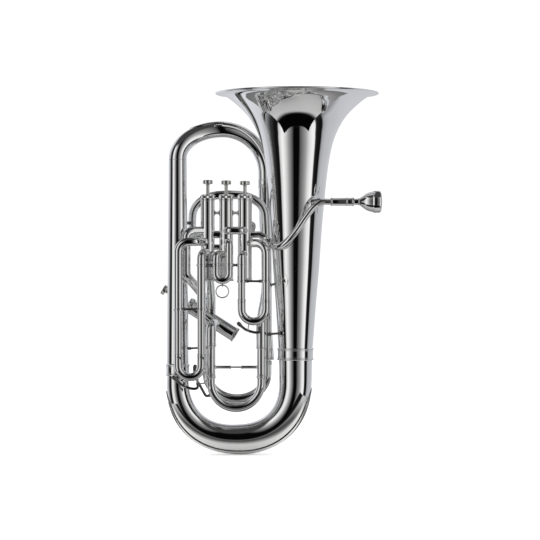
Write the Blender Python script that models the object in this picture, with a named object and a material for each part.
"""Compensating euphonium with three top valves and one side valve.

The horn stands upright in metres: +Z up, +X towards the bell side, +Y to the back.  The scene origin
is at the bottom centre of the horn's overall box.  Lengths below are in millimetres from a working
point near it; to_scene() shifts them by ORIGIN_SHIFT and turns them into metres.
"""
import math

import bmesh
import bpy
import numpy as np
from mathutils import Vector

MM = 0.001
ORIGIN_SHIFT = (-1.0460, 0.0, 1.5364)  # added to working coordinates to reach the scene origin
GAP = 0.35                             # clearance between neighbouring solids

# ---------------------------------------------------------------- meshing
COARSENESS = 1.9       # multiplies every max_turn: how coarsely bends are divided
BEND_STEP = 3.0        # degrees between the points of a rounded corner
SHARP_ANGLE = 40.0     # edges turning more than this are shaded sharp
END = -0.01            # table distance that stands for the end of a path
TUBE_WALL = 0.6

# ---------------------------------------------------------------- bell
BELL_FOOT_X, BELL_TOP_X = 47.8, 50.8   # bell axis, at the ferrule and at the rim
BELL_FOOT_Z = 183.0
BELL_TOP_Z = 664.0
BELL_RIM_R = 150.4
BELL_WALL = 1.2
# (height, outer radius)
BELL_PROFILE = [
    (183.0, 31.0), (231.7, 34.2), (313.7, 40.2), (387.0, 45.1), (465.3, 51.0), (512.3, 55.6),
    (549.4, 60.9), (579.4, 68.4), (607.2, 81.3), (631.1, 100.3), (646.2, 115.2), (658.2, 133.0),
]
BELL_RIM = [(658.9, 148.6), (660.2, BELL_RIM_R), (663.2, BELL_RIM_R)]   # same columns

# ---------------------------------------------------------------- bows and branches
BOW_X = -60.5
BOW_HALF_WIDTH = 108.3
BOW_EXPONENT = 2.25            # super-ellipse exponent of the bottom bow
BOW_Z = 135.2                  # height where the bottom bow starts to bend
BOW_BOTTOM_Z = 27.0            # centreline height at the bottom
BRANCH_X = -168.75
BRANCH_FOOT_Z, BRANCH_TOP_Z = 143.3, 540.0
TOP_BOW_X, TOP_BOW_Z = -88.2, 597.0    # highest point of the top bow's centreline
TOP_BOW_MID_Y = 22.0
TOP_BOW_LEFT_Z = BRANCH_TOP_Z + 1.7    # where the top bow's two legs start to bend
TOP_BOW_RIGHT_Z = 518.0
RIGHT_X, RIGHT_Y = -7.6, 44.0  # right leg of the top bow
GUARD_LIFT = 0.8               # guard plates stand this far off the bows, besides GAP

# ---------------------------------------------------------------- valves
VALVE_X = (-45.2, -79.5, -113.3)
VALVE_Y = -8.0
CASING_R, CASING_BORE = 13.0, 12.0
CAP_R = 13.9
CAP_BOTTOM_Z, CAP_TOP_Z = 316.6, 476.4
TOP_CAP_HEIGHT = 9.6
PISTON_R = 11.65
STEM_R = 3.2
BUTTON_R = 9.4
BUTTON_Z = (493.4, 494.3, 495.2)
BUTTON_HEIGHT = 7.6
SIDE_VALVE_TIP = (-194.9, 30.0, 300.7)          # finger end of the side valve
SIDE_VALVE_DIRECTION = (0.8437, 0.0, -0.5368)   # from the finger end to the bottom cap
SIDE_CAP_START = 50.0          # top cap's outer face, measured from the finger end
SIDE_VALVE_LENGTH = 157.8      # finger end to bottom cap
SIDE_TOP_CAP_HEIGHT, SIDE_TOP_CAP_R = 12.0, 15.4

# ---------------------------------------------------------------- slides: leg axes and bow centres
SLIDE_Y = -30.0                # plane of the first and second valve slides
THIRD_Y = -41.0
FOURTH_Y = -12.0
MAIN_Y = 14.0
FIRST_X, FIRST_Z = (-50.8, -6.6), 265.7
SECOND_X, SECOND_Z = (-98.3, -73.6), 330.9
THIRD_X, THIRD_Z = (-165.8, -124.0), 162.9
FOURTH_X, FOURTH_Z = (-107.1, -15.1), 130.3
MAIN_X, MAIN_Z = (-114.8, -4.8), 147.0
MAIN_BOW_HEIGHT = 47.6
MAIN_SLEEVE_Z = 172.0          # lower ends of the two sleeves over the main slide
PULL_RING_X = -86.0            # also the second slide's origin
PULL_EYE_Z = 310.0
PULL_RING_R, PULL_WIRE_R = 11.5, 1.15

# ---------------------------------------------------------------- materials
SILVER = dict(colour=(0.86, 0.86, 0.85), rough=0.06)
NICKEL = dict(colour=(0.72, 0.71, 0.68), rough=0.16)
STEEL = dict(colour=(0.45, 0.45, 0.46), rough=0.3)


def metal(name, colour, rough):
    material = bpy.data.materials.new(name)
    material.use_nodes = True
    shader = material.node_tree.nodes["Principled BSDF"]
    shader.inputs["Base Color"].default_value = (*colour, 1.0)
    shader.inputs["Roughness"].default_value = rough
    shader.inputs["Metallic"].default_value = 1.0
    material.diffuse_color = (*colour, 1.0)
    return material


# ---------------------------------------------------------------- paths
def vec(*values):
    return np.array(values, dtype=float)


def unit(v):
    v = np.asarray(v, dtype=float)
    return v / np.linalg.norm(v)


def square_to(v, axis):
    """The part of v at right angles to the unit vector axis."""
    return v - np.dot(v, axis) * axis


def bend(corners, radii):
    """Straight runs through corners, each inner corner rounded to its radius."""
    corners = [vec(*corner) for corner in corners]
    points = [corners[0]]
    for before, corner, after, radius in zip(corners, corners[1:], corners[2:], radii):
        back, ahead = unit(before - corner), unit(after - corner)
        angle = math.acos(max(-1.0, min(1.0, float(np.dot(back, ahead)))))
        cut = radius / math.tan(angle / 2)
        centre = corner + unit(back + ahead) * (radius / math.sin(angle / 2))
        arm0 = corner + back * cut - centre
        arm1 = corner + ahead * cut - centre
        turn = math.pi - angle
        count = max(2, int(math.ceil(math.degrees(turn) / BEND_STEP)))
        for k in range(count + 1):
            f = k / count
            arm = math.sin((1 - f) * turn) * arm0 + math.sin(f * turn) * arm1
            points.append(centre + arm / math.sin(turn))
    points.append(corners[-1])
    return np.array(points)


def spline(points, per_span):
    """Smooth curve through points (centripetal Catmull-Rom)."""
    p = [vec(*point) for point in points]
    p = [2 * p[0] - p[1]] + p + [2 * p[-1] - p[-2]]
    curve = []
    for a, b, c, d in zip(p, p[1:], p[2:], p[3:]):
        t0 = 0.0
        t1 = t0 + np.linalg.norm(b - a) ** 0.5
        t2 = t1 + np.linalg.norm(c - b) ** 0.5
        t3 = t2 + np.linalg.norm(d - c) ** 0.5
        for k in range(per_span):
            t = t1 + (t2 - t1) * k / per_span
            ab = (t1 - t) / (t1 - t0) * a + (t - t0) / (t1 - t0) * b
            bc = (t2 - t) / (t2 - t1) * b + (t - t1) / (t2 - t1) * c
            cd = (t3 - t) / (t3 - t2) * c + (t - t2) / (t3 - t2) * d
            abc = (t2 - t) / (t2 - t0) * ab + (t - t0) / (t2 - t0) * bc
            bcd = (t3 - t) / (t3 - t1) * bc + (t - t1) / (t3 - t1) * cd
            curve.append((t2 - t) / (t2 - t1) * abc + (t - t1) / (t2 - t1) * bcd)
    curve.append(p[-2])
    return np.array(curve)


def superellipse(centre_x, centre_z, half_width, half_height, exponent, angles, count,
                 y0=0.0, y1=None):
    """Part of a super-ellipse in the XZ plane between two angles in degrees.

    Y goes smoothly from y0 to y1, or stays at y0.
    """
    points = []
    for k in range(count + 1):
        f = k / count
        angle = math.radians(angles[0] + (angles[1] - angles[0]) * f)
        c, s = math.cos(angle), math.sin(angle)
        x = centre_x + half_width * math.copysign(abs(c) ** (2 / exponent), c)
        z = centre_z + half_height * math.copysign(abs(s) ** (2 / exponent), s)
        ease = f * f * (3 - 2 * f)
        points.append((x, y0 if y1 is None else y0 + (y1 - y0) * ease, z))
    return np.array(points)


def join(*runs):
    """Runs of points joined end to end, without doubled points."""
    points = [np.asarray(runs[0][0], dtype=float)]
    for run in runs:
        for point in run:
            if np.linalg.norm(np.asarray(point) - points[-1]) > 0.05:
                points.append(np.asarray(point, dtype=float))
    return np.array(points)


class Path:
    """Polyline measured by the distance s along it."""

    def __init__(self, points):
        self.points = np.asarray(points, dtype=float)
        steps = np.diff(self.points, axis=0)
        lengths = np.linalg.norm(steps, axis=1)
        self.s = np.concatenate([[0.0], np.cumsum(lengths)])
        self.length = float(self.s[-1])
        steps = steps / lengths[:, None]
        tangents = np.empty_like(self.points)
        tangents[0], tangents[-1] = steps[0], steps[-1]
        tangents[1:-1] = steps[:-1] + steps[1:]
        self.tangents = tangents / np.linalg.norm(tangents, axis=1)[:, None]
        cosines = np.clip(np.sum(steps[:-1] * steps[1:], axis=1), -1, 1)
        self.turns = np.concatenate([[0.0], np.degrees(np.arccos(cosines)), [0.0]])

    def at(self, s):
        return np.array([np.interp(s, self.s, self.points[:, k]) for k in range(3)])

    def tangent(self, s):
        return unit([np.interp(s, self.s, self.tangents[:, k]) for k in range(3)])

    def crossing(self, axis, value):
        """Distance at which the path first crosses coordinate axis = value."""
        v = self.points[:, axis] - value
        i = next(i for i in range(len(v) - 1) if v[i] == 0 or v[i] * v[i + 1] < 0)
        f = v[i] / (v[i] - v[i + 1])
        return float(self.s[i] + f * (self.s[i + 1] - self.s[i]))

    def table(self, rows):
        """Rows of (s, radius) as two sorted columns; negative s counts from the end."""
        rows = sorted(((self.length + s if s < 0 else s), r) for s, r in rows)
        return [s for s, _ in rows], [r for _, r in rows]

    def stations(self, max_turn, extra):
        """Distances for cross-sections: ends of bends, every max_turn inside them, and extra."""
        max_turn *= COARSENESS
        found, turned_so_far = [0.0], 0.0
        for i in range(1, len(self.points)):
            turned_so_far += self.turns[i]
            last = i == len(self.points) - 1
            following = 0.0 if last else self.turns[i + 1]
            bending = self.turns[i] > 0.2
            edge = bending and (self.turns[i - 1] <= 0.2 or following <= 0.2)
            if last or turned_so_far >= max_turn or edge:
                found.append(float(self.s[i]))
                turned_so_far = 0.0
        found = sorted(found + [min(max(float(s), 0.0), self.length) for s in extra])
        kept = [found[0]]
        for s in found[1:]:
            if s - kept[-1] > 0.02:
                kept.append(s)
        if self.length - kept[-1] < 0.02:
            kept[-1] = self.length
        return kept


def frames(path, stations, ref):
    """(tangent, side, other side) at each station, carried along without twist from ref."""
    tangents = [path.tangent(s) for s in stations]
    side = np.asarray(ref, dtype=float)
    if abs(np.dot(unit(side), tangents[0])) > 0.9:
        side = vec(0, 0, 1)
    side = unit(square_to(side, tangents[0]))
    out = [(tangents[0], side, np.cross(tangents[0], side))]
    for before, after in zip(tangents, tangents[1:]):
        axis = np.cross(before, after)
        sine = np.linalg.norm(axis)
        if sine > 1e-9:
            axis /= sine
            angle = math.atan2(sine, float(np.dot(before, after)))
            side = (side * math.cos(angle) + np.cross(axis, side) * math.sin(angle)
                    + axis * np.dot(axis, side) * (1 - math.cos(angle)))
        side = unit(square_to(side, after))
        out.append((after, side, np.cross(after, side)))
    return out


# ---------------------------------------------------------------- meshes
def to_scene(point):
    return tuple((float(c) + shift) * MM for c, shift in zip(point, ORIGIN_SHIFT))


def finish(name, verts, faces, look):
    mesh = bpy.data.meshes.new(name)
    mesh.from_pydata([to_scene(v) for v in verts], [], faces)
    mesh.validate()
    ob = bpy.data.objects.new(name, mesh)
    bpy.context.collection.objects.link(ob)
    mesh.materials.append(metal(name, **look))
    mesh.shade_smooth()
    mesh.set_sharp_from_angle(angle=math.radians(SHARP_ANGLE))
    return ob


def circle(centre, radius, side0, side1, sides, phase=0.5):
    """Points round a centre; phase shifts them by a part of one side."""
    points = []
    for k in range(sides):
        angle = 2 * math.pi * (k + phase) / sides
        points.append(centre + radius * (math.cos(angle) * side0 + math.sin(angle) * side1))
    return points


def index_rings(count, sides):
    """Vertex indices of count rings stored one after another."""
    return [list(range(j * sides, (j + 1) * sides)) for j in range(count)]


def skin(rings, closed):
    """Faces between neighbouring rings of indices; a ring of one index is a point on the axis."""
    pairs = list(zip(rings[:-1], rings[1:])) + ([(rings[-1], rings[0])] if closed else [])
    faces = []
    for low, high in pairs:
        if len(low) == 1 and len(high) == 1:
            continue
        sides = max(len(low), len(high))
        for k in range(sides):
            j = (k + 1) % sides
            if len(low) == 1:
                faces.append((low[0], high[j], high[k]))
            elif len(high) == 1:
                faces.append((low[k], low[j], high[0]))
            else:
                faces.append((low[k], low[j], high[j], high[k]))
    return faces


def onto(point, direction, body):
    """Moves point along direction to a round body: (axis point, axis direction, radius)."""
    axis_point, axis, radius = body
    offset = square_to(point - axis_point, axis)
    heading = square_to(direction, axis)
    a = np.dot(heading, heading)
    b = 2 * np.dot(offset, heading)
    c = np.dot(offset, offset) - radius * radius
    discriminant = b * b - 4 * a * c
    if discriminant <= 0:      # the line misses the body
        return point
    return point + direction * ((-b - math.sqrt(discriminant)) / (2 * a))


def tube(name, points, outer, inner=None, wall=TUBE_WALL, sides=8, max_turn=22.0,
         start=None, end=None, phase=0.5):
    """Hollow tube along points.

    outer and inner are rows of (s, radius), held constant past the last row; without inner the
    bore is the outer radius less the wall.  start and end are round bodies the ends are fitted to.
    """
    path = Path(points)
    outer = path.table(outer)
    inner = path.table(inner) if inner else (outer[0], [r - wall for r in outer[1]])
    stations = path.stations(max_turn, outer[0] + inner[0])
    directions = frames(path, stations, (1, 0, 0))
    verts = []
    for distances, radii in (outer, inner):
        for s, (_, side0, side1) in zip(stations, directions):
            radius = float(np.interp(s, distances, radii))
            verts += circle(path.at(s), radius, side0, side1, sides, phase)
    count = len(stations)
    rings = index_rings(2 * count, sides)
    outer_rings, inner_rings = rings[:count], rings[count:]
    for body, i, way in ((start, 0, -directions[0][0]), (end, -1, directions[-1][0])):
        if body is not None:
            for k in outer_rings[i] + inner_rings[i]:
                verts[k] = onto(verts[k], way, body)
    return finish(name, verts, skin(outer_rings + inner_rings[::-1], closed=True), SILVER)


def rod(name, points, radii, look=SILVER, sides=8, ref=(0, 1, 0)):
    """Solid round bar along points, with radii as rows of (s, radius)."""
    path = Path(points)
    distances, radii = path.table(radii)
    stations = path.stations(30.0, distances)
    verts = []
    for s, (_, side0, side1) in zip(stations, frames(path, stations, ref)):
        verts += circle(path.at(s), float(np.interp(s, distances, radii)), side0, side1, sides)
    rings = index_rings(len(stations), sides)
    return finish(name, verts, [rings[0][::-1], rings[-1]] + skin(rings, closed=False), look)


def turned(name, profile, base, axis, sides, look=SILVER, ref=(1, 0, 0)):
    """Body of revolution.

    profile is rows of (radius, height) along axis from base.  It starts and ends on the axis, or
    else is closed into a loop.
    """
    axis = unit(axis)
    side0 = unit(square_to(np.asarray(ref, dtype=float), axis))
    side1 = np.cross(axis, side0)
    verts, rings = [], []
    for radius, height in profile:
        centre = base + height * axis
        ring = [centre] if radius == 0 else circle(centre, radius, side0, side1, sides)
        rings.append(list(range(len(verts), len(verts) + len(ring))))
        verts += ring
    closed = not (len(rings[0]) == 1 and len(rings[-1]) == 1)
    return finish(name, verts, skin(rings, closed), look)


def guard(name, points, bow_radii, angles, thick, span, side, max_turn):
    """Guard plate over the outer side of a bow.

    angles is the half angle at the ends and what is added to it in the middle, in degrees; span is
    the stretch of path covered; side (1 or -1) picks the side of the path.
    """
    path = Path(points)
    distances, radii = path.table(bow_radii)
    s0, s1 = span
    stations = [s for s in path.stations(max_turn, distances) if s - s0 > 2 and s1 - s > 2]
    stations = [s0] + stations + [s1]
    across = 9
    verts = []
    for s in stations:
        tangent = path.tangent(s)
        cross = unit(square_to(vec(0, 1, 0), tangent))
        outward = np.cross(tangent, cross) * side
        swell = min(1.0, math.sin(math.pi * (s - s0) / (s1 - s0)) * 2.2)
        half = math.radians(angles[0] + angles[1] * swell)
        under = float(np.interp(s, distances, radii)) + GUARD_LIFT + GAP
        for radius in (under, under + thick):
            for k in range(across):
                a = -half + 2 * half * k / (across - 1)
                verts.append(path.at(s) + radius * (math.cos(a) * outward + math.sin(a) * cross))

    # Each station holds a row of under-side vertices, then a row of outer ones.
    n, row = across, 2 * across
    last = (len(stations) - 1) * row
    faces = []
    for p in range(0, last, row):
        q = p + row
        for k in range(n - 1):
            faces.append((p + k, p + k + 1, q + k + 1, q + k))
            faces.append((p + n + k + 1, p + n + k, q + n + k, q + n + k + 1))
        faces.append((p, q, q + n, p + n))
        faces.append((p + n - 1, p + 2 * n - 1, q + 2 * n - 1, q + n - 1))
    for p in (0, last):
        for k in range(n - 1):
            face = (p + k + 1, p + k, p + n + k, p + n + k + 1)
            faces.append(face[::-1] if p else face)
    ob = finish(name, verts, faces, SILVER)
    bm = bmesh.new()
    bm.from_mesh(ob.data)
    bmesh.ops.recalc_face_normals(bm, faces=bm.faces)
    bm.to_mesh(ob.data)
    bm.free()


def origin_at(ob, point):
    """Moves an object's origin to a point in mm, leaving its shape where it is."""
    origin = Vector(to_scene(point))
    for v in ob.data.vertices:
        v.co = v.co - origin
    ob.location = origin


def solder(ob, piece):
    """Joins piece to ob as one body; the piece is kept as a hidden guide."""
    modifier = ob.modifiers.new("solder_0", "BOOLEAN")
    modifier.operation = "UNION"
    modifier.solver = "EXACT"
    modifier.object = piece
    piece.hide_render = True
    piece.display_type = "WIRE"


# ---------------------------------------------------------------- bell, bows and branches
def build_bell():
    axis = bend([(BELL_FOOT_X, 0, BELL_FOOT_Z), (BELL_TOP_X, 0, 560.0),
                 (BELL_TOP_X, 0, BELL_TOP_Z)], [200.0])
    outer = [(z - BELL_FOOT_Z, r) for z, r in BELL_PROFILE + BELL_RIM] + [(END, 149.4)]
    inner = [(z - BELL_FOOT_Z, r - BELL_WALL) for z, r in BELL_PROFILE] + [(END, 146.0)]
    tube("bell", axis, outer, inner, sides=24, max_turn=30, phase=0.0)
    tube("bell_ferrule", [(BELL_FOOT_X, 0, 172.0), (BELL_FOOT_X, 0, 194.0)],
         [(0, 34.2), (2.5, 34.2), (3.5, 33.2), (18.5, 33.2), (19.5, 34.2), (22, 34.2)],
         [(0, 32.4)], sides=20)


def build_bottom_bow():
    points = join(
        [(BRANCH_X, 0, 153.0), (BRANCH_X, 0, BOW_Z + 0.1)],
        superellipse(BOW_X, BOW_Z, BOW_HALF_WIDTH, BOW_Z - BOW_BOTTOM_Z, BOW_EXPONENT,
                     (180, 360), 72),
        [(BELL_FOOT_X, 0, BOW_Z + 0.1), (BELL_FOOT_X, 0, 182.4)])
    length = Path(points).length
    radii = [(0, 20.1), (20, 20.3), (length * 0.5, 27.0), (-48, 30.2), (END, 30.9)]
    tube("bottom_bow", points, radii, sides=16, max_turn=9, wall=0.9)
    guard("bottom_bow_guard", points, radii, angles=(12.0, 24.0), thick=0.9,
          span=(38.0, length - 62.0), side=-1.0, max_turn=9)


def build_outer_branch():
    length = BRANCH_TOP_Z - BRANCH_FOOT_Z
    tube("outer_branch", [(BRANCH_X, 0, BRANCH_FOOT_Z), (BRANCH_X, 0, BRANCH_TOP_Z)],
         [(0, 22.5), (21.2, 22.5), (21.9, 20.25), (29, 20.15), (345, 16.9), (length, 16.6)],
         [(0, 21.1), (10.4, 21.1), (10.8, 19.3), (345, 16.2), (length, 15.9)], sides=16)


def build_top_bow():
    points = join(
        [(BRANCH_X, 0, BRANCH_TOP_Z + 0.4), (BRANCH_X, 0, BRANCH_TOP_Z + 1.6)],
        superellipse(TOP_BOW_X, TOP_BOW_LEFT_Z, TOP_BOW_X - BRANCH_X, TOP_BOW_Z - TOP_BOW_LEFT_Z,
                     2.0, (180, 90), 20, 0.0, TOP_BOW_MID_Y),
        superellipse(TOP_BOW_X, TOP_BOW_RIGHT_Z, RIGHT_X - TOP_BOW_X,
                     TOP_BOW_Z - TOP_BOW_RIGHT_Z, 2.0, (90, 0), 20, TOP_BOW_MID_Y, RIGHT_Y),
        [(RIGHT_X, RIGHT_Y, TOP_BOW_RIGHT_Z - 0.1), (RIGHT_X, RIGHT_Y - 1.0, 494.0)])
    length = Path(points).length
    radii = [(0, 16.5), (length * 0.45, 14.3), (END, 12.9)]
    tube("top_bow", points, radii, sides=12, max_turn=15)
    guard("top_bow_guard", points, radii, angles=(14.0, 26.0), thick=0.8,
          span=(length * 0.27, length * 0.80), side=1.0, max_turn=15)


def build_main_branch():
    """Tube from the main slide's right leg up to the top bow."""
    x = MAIN_X[1]
    points = join(
        [(x, MAIN_Y, MAIN_SLEEVE_Z), (x, MAIN_Y, 232.0)],
        spline([(x, MAIN_Y, 232.0), (-4.9, 17.0, 270.0), (-5.2, 26.0, 340.0),
                (-6.6, 35.5, 410.0), (-7.5, 41.0, 460.0), (RIGHT_X, RIGHT_Y - 1.2, 489.0),
                (RIGHT_X, RIGHT_Y - 0.6, 506.0)], 8))
    path = Path(points)
    flare_start, flare_end = path.crossing(2, 365.0), path.crossing(2, 425.0)
    tube("main_branch", points,
         [(0, 9.6), (6.0, 9.6), (6.6, 9.45), (58, 9.45), (flare_start, 9.8), (flare_end, 12.2),
          (-17.0, 12.9), (-16.0, 14.3)],
         [(0, 8.95), (55, 8.95), (60, 8.6), (flare_start, 9.1), (flare_end, 11.5),
          (-13.6, 12.2), (-12.6, 13.3)], sides=12, max_turn=20)


# ---------------------------------------------------------------- where tubes meet the valves
def on_side_valve(distance):
    """Point on the side valve's axis, measured from its finger end."""
    return vec(*SIDE_VALVE_TIP) + distance * unit(SIDE_VALVE_DIRECTION)


def port(number, z):
    """Point at height z on the axis of top valve 1, 2 or 3."""
    return (VALVE_X[number - 1], VALVE_Y, z)


# Round bodies that tube ends are fitted to, by valve number.
VALVE_BODY = {number: (vec(*port(number, 0.0)), vec(0, 0, 1), CASING_R + GAP)
              for number in (1, 2, 3)}
VALVE_BODY[4] = (on_side_valve(0), unit(SIDE_VALVE_DIRECTION), CASING_R + 0.45 + GAP)

# name, valve at the start, valve at the end, outer radius, max_turn, corners, corner radii
VALVE_TUBES = [
    ("feed_tube", 3, 4, 8.3, 18,
     [port(3, 409.0), (-152.4, -24.0, 409.0), (-152.4, -24.0, 328.0), (-130.0, 4.0, 300.0),
      (-120.5, 42.0, 286.0), on_side_valve(86.0)], [15.0, 18.0, 20.0, 10.0]),
    ("compensating_return", 3, 4, 7.6, 22,
     [port(3, 352.0), (-113.0, 21.0, 352.0), (-107.0, 22.0, 285.0), on_side_valve(103.6)],
     [10.0, 20.0]),
    ("knuckle_1_2", 2, 1, 7.2, 22,
     [port(2, 409.6), (-76.5, -29.5, 409.6), (-48.0, -29.5, 409.6), port(1, 409.6)], [9.5, 9.5]),
    ("knuckle_2_3_upper", 3, 2, 7.0, 22, [port(3, 402.6), port(2, 402.6)], []),
    ("knuckle_2_3_lower", 3, 2, 5.4, 22, [port(3, 379.4), port(2, 379.4)], []),
    ("compensating_loop_1", 1, 1, 5.9, 22,
     [port(1, 423.0), (-30.0, 6.0, 421.0), (-36.0, 27.0, 398.0), (-44.0, 27.0, 350.0),
      port(1, 347.0)], [7.5, 9.0, 9.0]),
    ("compensating_loop_2", 2, 2, 5.9, 22,
     [port(2, 420.0), (VALVE_X[1], 24.0, 420.0), (VALVE_X[1], 24.0, 356.0), port(2, 356.0)],
     [9.5, 9.5]),
]

# name, valve at the end, outer radius, corners, corner radii
SLEEVES = [
    ("first_slide_upper_sleeve", 1, 7.75,
     [(FIRST_X[1], SLIDE_Y, 314.6), (FIRST_X[1], SLIDE_Y, 387.0), (-30.0, -19.0, 386.6),
      port(1, 386.6)], [20.0, 20.0]),
    ("first_slide_lower_sleeve", 1, 7.75,
     [(FIRST_X[0], SLIDE_Y, 314.6), (FIRST_X[0], SLIDE_Y, 365.0), port(1, 367.0)], [8.0]),
    ("second_slide_upper_sleeve", 2, 7.5,
     [(SECOND_X[1], SLIDE_Y, 345.0), (SECOND_X[1], SLIDE_Y, 387.0), port(2, 389.0)], [8.2]),
    ("second_slide_lower_sleeve", 2, 7.5,
     [(SECOND_X[0], SLIDE_Y, 345.0), (SECOND_X[0], SLIDE_Y, 366.0), port(2, 366.0)], [9.0]),
    ("third_slide_upper_sleeve", 3, 8.0,
     [(THIRD_X[0], THIRD_Y, 263.0), (THIRD_X[0], THIRD_Y, 389.0), (-135.0, THIRD_Y, 389.0),
      port(3, 389.0)], [19.0, 11.0]),
    ("third_slide_lower_sleeve", 3, 8.0,
     [(THIRD_X[1], THIRD_Y, 263.0), (THIRD_X[1], THIRD_Y, 368.0), port(3, 370.0)], [13.0]),
]


def build_valve_tubes():
    for name, start, end, radius, max_turn, corners, corner_radii in VALVE_TUBES:
        tube(name, bend(corners, corner_radii), [(0, radius)], max_turn=max_turn,
             start=VALVE_BODY[start], end=VALVE_BODY[end])


def build_sleeves():
    """Sleeves with a collar at the open end, running to the top valves."""
    for name, end, radius, corners, corner_radii in SLEEVES:
        collar = radius + 0.45
        tube(name, bend(corners, corner_radii), [(0, collar), (2.2, collar), (2.7, radius)],
             [(0, radius - 0.55)], max_turn=20, end=VALVE_BODY[end])


def build_side_valve_sleeves():
    """Sleeves over the left legs of the main and fourth slides, ending on the side valve."""
    x = MAIN_X[0]
    tube("main_slide_sleeve",
         bend([(x, MAIN_Y, MAIN_SLEEVE_Z), (x, MAIN_Y, 214.0), on_side_valve(83.5)], [26.0]),
         [(0, 9.6), (6.0, 9.6), (6.6, 9.45)], [(0, 8.95)], end=VALVE_BODY[4])
    x = FOURTH_X[0]
    tube("fourth_slide_sleeve",
         bend([(x, FOURTH_Y, 197.0), (x, FOURTH_Y, 236.5), on_side_valve(113.5)], [13.0]),
         [(0, 9.7), (5.0, 9.7), (5.6, 9.25)], [(0, 8.65)], end=VALVE_BODY[4])


def build_fourth_loop():
    """Tube from the fourth slide's right leg, over the valves and down to the third valve."""
    x = FOURTH_X[1]
    arch_x, arch_half, arch_z = -75.3, 67.2, 430.0
    left_x = arch_x - arch_half
    points = join(
        [(x, FOURTH_Y, 193.0), (x, FOURTH_Y, 240.0)],
        spline([(x, FOURTH_Y, 240.0), (-13.4, -11.0, 256.0), (-7.6, -7.0, 290.0),
                (-5.6, -2.0, 330.0), (-6.0, 5.0, 380.0), (-8.1, 14.0, arch_z)], 9),
        superellipse(arch_x, arch_z + 0.1, arch_half, 46.6, 2.45, (0, 180), 40, 14.0, 15.0),
        bend([(left_x, 15.0, arch_z), (left_x, 15.0, 396.0), (VALVE_X[2], 15.0, 394.0),
              port(3, 394.0)], [13.0, 8.5]))
    top = Path(points).crossing(0, arch_x)
    tube("fourth_loop", points,
         [(0, 9.7), (5, 9.7), (5.6, 9.25), (47, 9.25), (52, 9.0), (150, 8.5), (235, 8.2),
          (top, 8.0), (top + 90, 7.4), (top + 125, 6.8)],
         [(0, 8.65), (46, 8.65), (52, 8.3), (150, 7.9), (235, 7.6),
          (top, 7.4), (top + 90, 6.8), (top + 125, 6.2)],
         end=VALVE_BODY[3], max_turn=17)


# ---------------------------------------------------------------- slides
def mirrored(rows):
    """Rows of (s, radius) given from the start, repeated from the other end."""
    return rows + [(-s, r) for s, r in rows[1:]]


def u_slide(name, leg_x, y, top_z, bow_z, outer, inner, max_turn, bow_height=None,
            origin_x=None):
    """U-shaped slide with its origin at the centre of its bow.

    outer and inner describe one leg, from its top down.
    """
    left, right = leg_x
    middle, half_width = (left + right) / 2, (right - left) / 2
    points = join(
        [(left, y, top_z), (left, y, bow_z + 0.1)],
        superellipse(middle, bow_z, half_width, bow_height or half_width, 2.0, (180, 360), 60, y),
        [(right, y, bow_z + 0.1), (right, y, top_z)])
    ob = tube(name, points, mirrored(outer), mirrored(inner), max_turn=max_turn)
    origin_at(ob, (middle if origin_x is None else origin_x, y, bow_z))
    return ob


def valve_slide(name, leg_x, y, top_z, ferrule_z, bow_z, leg_r, bow_r, origin_x=None):
    """Slide of a top valve; a ferrule 5 mm long below ferrule_z joins each leg to the bow."""
    leg = top_z - ferrule_z
    ferrule_r = bow_r + 0.6
    outer = [(0, leg_r), (leg, leg_r), (leg + 0.5, ferrule_r), (leg + 4.5, ferrule_r),
             (leg + 5.0, bow_r)]
    return u_slide(name, leg_x, y, top_z, bow_z, outer, [(0, leg_r - 0.6)], max_turn=22,
                   origin_x=origin_x)


def build_main_slide():
    u_slide("main_tuning_slide", MAIN_X, MAIN_Y, 209.0, MAIN_Z,
            [(0, 8.6), (39.5, 8.6), (40.0, 10.0), (45.0, 10.0), (45.6, 9.0)], [(0, 8.0)],
            max_turn=20, bow_height=MAIN_BOW_HEIGHT)


def build_fourth_slide():
    slide = u_slide("fourth_slide", FOURTH_X, FOURTH_Y, 221.0, FOURTH_Z,
                    [(0, 8.35), (76.0, 8.35), (76.6, 8.9), (82.0, 8.9), (82.6, 7.7)],
                    [(0, 7.7), (76.0, 7.7), (82.6, 7.0)], max_turn=20)
    brace = rod("fourth_slide_brace", [(-99.9, FOURTH_Y, 159.3), (-22.3, FOURTH_Y, 159.3)],
                [(0, 3.0), (29.0, 3.0), (29.5, 1.7), (47.0, 1.7), (47.5, 3.0)])
    solder(slide, brace)


def build_valve_slides():
    valve_slide("first_slide", FIRST_X, SLIDE_Y, 345.0, 284.0, FIRST_Z, leg_r=6.85, bow_r=7.4)
    valve_slide("third_slide", THIRD_X, THIRD_Y, 332.0, 184.0, THIRD_Z, leg_r=7.1, bow_r=7.6)
    second = valve_slide("second_slide", SECOND_X, SLIDE_Y, 355.5, 344.4, SECOND_Z,
                         leg_r=6.6, bow_r=7.2, origin_x=PULL_RING_X)
    eye = turned("pull_ring_eye", [(1.6, -1.0), (4.0, -1.0), (4.0, 1.0), (1.6, 1.0)],
                 vec(PULL_RING_X, SLIDE_Y, PULL_EYE_Z), axis=(1, 0, 0), sides=8, ref=(0, 0, 1))
    solder(second, eye)


def build_pull_ring():
    """Wire ring hanging in the second slide's eye."""
    steps, sides = 18, 6
    eye = vec(PULL_RING_X, SLIDE_Y, PULL_EYE_Z)
    centre = eye - vec(0, 0, PULL_RING_R + 0.1)
    verts = []
    for i in range(steps):
        angle = 2 * math.pi * i / steps
        outward = vec(math.sin(angle), 0, math.cos(angle))
        verts += circle(centre + PULL_RING_R * outward, PULL_WIRE_R, outward, vec(0, 1, 0),
                        sides, phase=0.0)
    faces = skin(index_rings(steps, sides)[::-1], closed=True)
    origin_at(finish("pull_ring", verts, faces, SILVER), eye)


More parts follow.
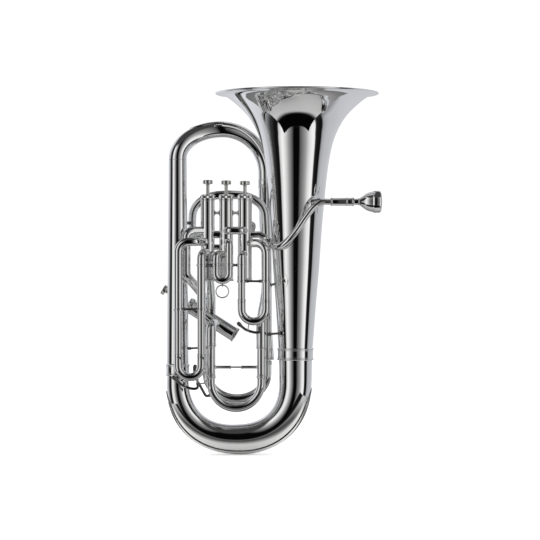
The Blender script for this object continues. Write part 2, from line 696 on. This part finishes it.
# ---------------------------------------------------------------- leadpipe to mouthpiece
RECEIVER_BASE = vec(111.0, -57.0, 461.3)
RECEIVER_AXIS = unit((0.998, 0.06, 0.0))

# (radius, distance along the receiver axis)
RECEIVER_PROFILE = [
    (6.0, 0.0), (7.9, 0.0), (7.9, 3.2), (7.3, 3.8), (7.3, 28.0), (7.8, 28.4), (7.8, 30.4),
    (7.3, 30.8), (7.3, 38.6), (8.0, 39.2), (8.0, 42.7), (6.05, 42.7), (5.5, 12.0), (6.0, 11.6),
]
MOUTHPIECE_PROFILE = [
    (4.0, 16.0), (5.05, 16.0), (5.6, 43.2), (6.0, 51.0), (6.6, 53.0), (8.0, 55.0), (10.8, 58.5),
    (15.2, 64.0), (17.6, 69.0), (19.0, 75.0), (20.1, 78.5), (20.25, 80.0), (20.25, 89.6),
    (19.0, 91.9), (16.2, 92.5), (13.4, 91.6), (12.6, 89.5), (11.6, 80.0), (8.6, 71.0),
    (4.0, 64.0), (3.2, 60.0), (3.4, 52.0),
]


def on_receiver(distance):
    return RECEIVER_BASE + RECEIVER_AXIS * distance


def build_leadpipe():
    """Pipe from the first valve to inside the receiver, with a collar on the way."""
    points = join(
        [port(1, 402.4), (-19.0, -10.5, 402.4)],
        spline([(-19.0, -10.5, 402.4), (-5.5, -13.0, 395.0), (5.0, -27.0, 382.5),
                (19.5, -45.5, 380.5), (34.0, -55.5, 391.5), (49.0, -58.5, 409.0),
                (65.5, -59.0, 433.0), (78.0, -59.5, 449.5), (88.0, -59.0, 457.4),
                on_receiver(-12.0), on_receiver(-5.0), on_receiver(-1.0), on_receiver(9.0)], 8))
    collar = Path(points).crossing(0, 6.5)
    tube("leadpipe", points,
         [(0, 6.3), (collar - 5, 6.3), (collar - 4.4, 6.9), (collar + 4.4, 6.9),
          (collar + 5, 6.25), (END, 5.6)], wall=0.7, start=VALVE_BODY[1], max_turn=18)


def build_mouthpiece():
    turned("receiver", RECEIVER_PROFILE, RECEIVER_BASE, RECEIVER_AXIS, sides=12)
    mouthpiece = turned("mouthpiece", MOUTHPIECE_PROFILE, RECEIVER_BASE, RECEIVER_AXIS, sides=14)
    origin_at(mouthpiece, on_receiver(43.0))


# ---------------------------------------------------------------- valves
def spring(name, base, axis, length):
    """Coil of square-sectioned steel wire, standing on base."""
    radius, wire_r, coils, per_coil = 8.2, 0.7, 5, 7
    side0 = unit(np.cross(axis, (0.31, 0.9, 0.2)))
    side1 = np.cross(axis, side0)
    count = coils * per_coil
    points = []
    for i in range(count + 1):
        angle = 2 * math.pi * i / per_coil
        around = radius * (math.cos(angle) * side0 + math.sin(angle) * side1)
        points.append(base + axis * (length * i / count) + around)
    rod(name, points, [(0, wire_r)], look=STEEL, sides=4, ref=axis)


def valve(number, foot, axis, length, cap_height, button_z, top_cap_r):
    """One piston valve.

    foot is the outer face of the bottom cap; all heights are measured from it along axis.
    """
    casing_z0, casing_z1 = 4.4, length - cap_height
    piston_z0, piston_z1 = 44.0, casing_z1 - 18.0
    spring_z = 2.6
    button_top = button_z + BUTTON_HEIGHT
    neck_r = CASING_R - 0.7        # step at the casing's upper end, inside the top cap
    cap_bore = CASING_R - 0.3
    cap_ceiling = length - 2.0
    ref = unit(np.cross(axis, (0, 1, 0)))

    def part(kind, profile, look=SILVER):
        return turned(f"valve_{number}_{kind}", profile, foot, axis, 12, look, ref)

    part("casing", [
        (CASING_BORE, casing_z0), (CASING_R, casing_z0), (CASING_R, casing_z1),
        (neck_r, casing_z1 + 0.3), (neck_r, casing_z1 + 5.2), (CASING_BORE, casing_z1 + 5.2)])
    part("top_cap", [
        (top_cap_r - 0.2, casing_z1 + 0.6), (top_cap_r, casing_z1 + 1.2),
        (top_cap_r, length - 1.6), (top_cap_r - 1.2, length), (5.0, length),
        (4.2, length - 0.4), (4.2, cap_ceiling), (cap_bore, cap_ceiling),
        (cap_bore, casing_z1 + 0.6)])
    part("bottom_cap", [
        (0, 0), (CAP_R - 1.0, 0), (CAP_R, 0.9), (CAP_R, 3.4), (CAP_R - 0.5, 4.05),
        (CASING_BORE - 0.4, 4.05), (CASING_BORE - 0.4, 9.0), (CASING_BORE - 1.2, 9.0),
        (CASING_BORE - 1.2, 1.6), (0, 1.6)])
    piston = part("piston", [
        (PISTON_R - 1.0, piston_z0), (PISTON_R, piston_z0), (PISTON_R, piston_z1),
        (0, piston_z1), (0, piston_z1 - 2.0), (PISTON_R - 1.0, piston_z1 - 2.0)], NICKEL)
    spring(f"valve_{number}_spring", foot + axis * spring_z, axis,
           piston_z0 - spring_z - 1.2)
    button = part("button", [
        (0, piston_z1 + 0.3), (6.5, piston_z1 + 0.3), (6.5, piston_z1 + 3.4),
        (STEM_R, piston_z1 + 3.8), (STEM_R, button_z - 3.2), (3.9, button_z - 1.0),
        (4.8, button_z - 0.2), (BUTTON_R - 0.6, button_z + 1.6), (BUTTON_R, button_z + 2.4),
        (BUTTON_R, button_top - 1.1), (BUTTON_R - 1.2, button_top), (7.6, button_top),
        (6.8, button_top - 0.7), (0, button_top - 0.9)])
    origin_at(piston, foot)
    origin_at(button, foot)


def build_valves():
    for number, button_z in enumerate(BUTTON_Z, start=1):
        valve(number, foot=vec(*port(number, CAP_BOTTOM_Z)), axis=vec(0, 0, 1),
              length=CAP_TOP_Z - CAP_BOTTOM_Z, cap_height=TOP_CAP_HEIGHT,
              button_z=button_z - CAP_BOTTOM_Z, top_cap_r=CAP_R)
    valve(4, foot=on_side_valve(SIDE_VALVE_LENGTH), axis=-unit(SIDE_VALVE_DIRECTION),
          length=SIDE_VALVE_LENGTH - SIDE_CAP_START, cap_height=SIDE_TOP_CAP_HEIGHT,
          button_z=SIDE_VALVE_LENGTH - 4.0, top_cap_r=SIDE_TOP_CAP_R)


# ---------------------------------------------------------------- water keys
# name, y of its plane, pad radius, pivot (x, z), centreline (x, z) from finger end to pad
WATER_KEYS = [
    ("water_key_1", SLIDE_Y, 3.4, (-39.4, 227.0),
     [(-58.6, 242.0), (-52.0, 235.5), (-43.0, 228.5), (-34.0, 225.0), (-24.0, 223.2),
      (-18.6, 224.4), (-17.6, 229.5), (-17.6, 234.0)]),
    ("water_key_3", THIRD_Y, 3.4, (-153.8, 125.4),
     [(-177.0, 144.0), (-170.5, 137.5), (-160.0, 128.5), (-150.0, 123.8), (-139.0, 121.0),
      (-131.8, 122.4), (-130.4, 128.0), (-130.4, 132.6)]),
    ("water_key_main", MAIN_Y, 3.2, (-129.6, 127.5),
     [(-136.6, 163.0), (-138.6, 152.0), (-136.0, 138.0), (-129.6, 127.0), (-122.0, 113.0),
      (-117.0, 105.5), (-112.0, 105.4), (-108.2, 108.6)]),
]


def build_water_keys():
    for name, y, pad_r, (pivot_x, pivot_z), line in WATER_KEYS:
        key = rod(name, spline([(x, y, z) for x, z in line], 6),
                  [(0, 3.4), (7.0, 4.0), (10.0, 2.7), (-8.0, 2.5), (-5.6, 2.3), (-4.6, pad_r)])
        origin_at(key, (pivot_x, y, pivot_z))


# ---------------------------------------------------------------- build the horn
for old in list(bpy.data.objects):
    bpy.data.objects.remove(old, do_unlink=True)

build_bell()
build_bottom_bow()
build_outer_branch()
build_top_bow()
build_main_branch()
build_side_valve_sleeves()
build_main_slide()
build_fourth_slide()
build_fourth_loop()
build_valve_tubes()
build_sleeves()
build_valve_slides()
build_pull_ring()
build_leadpipe()
build_mouthpiece()
build_valves()
build_water_keys()
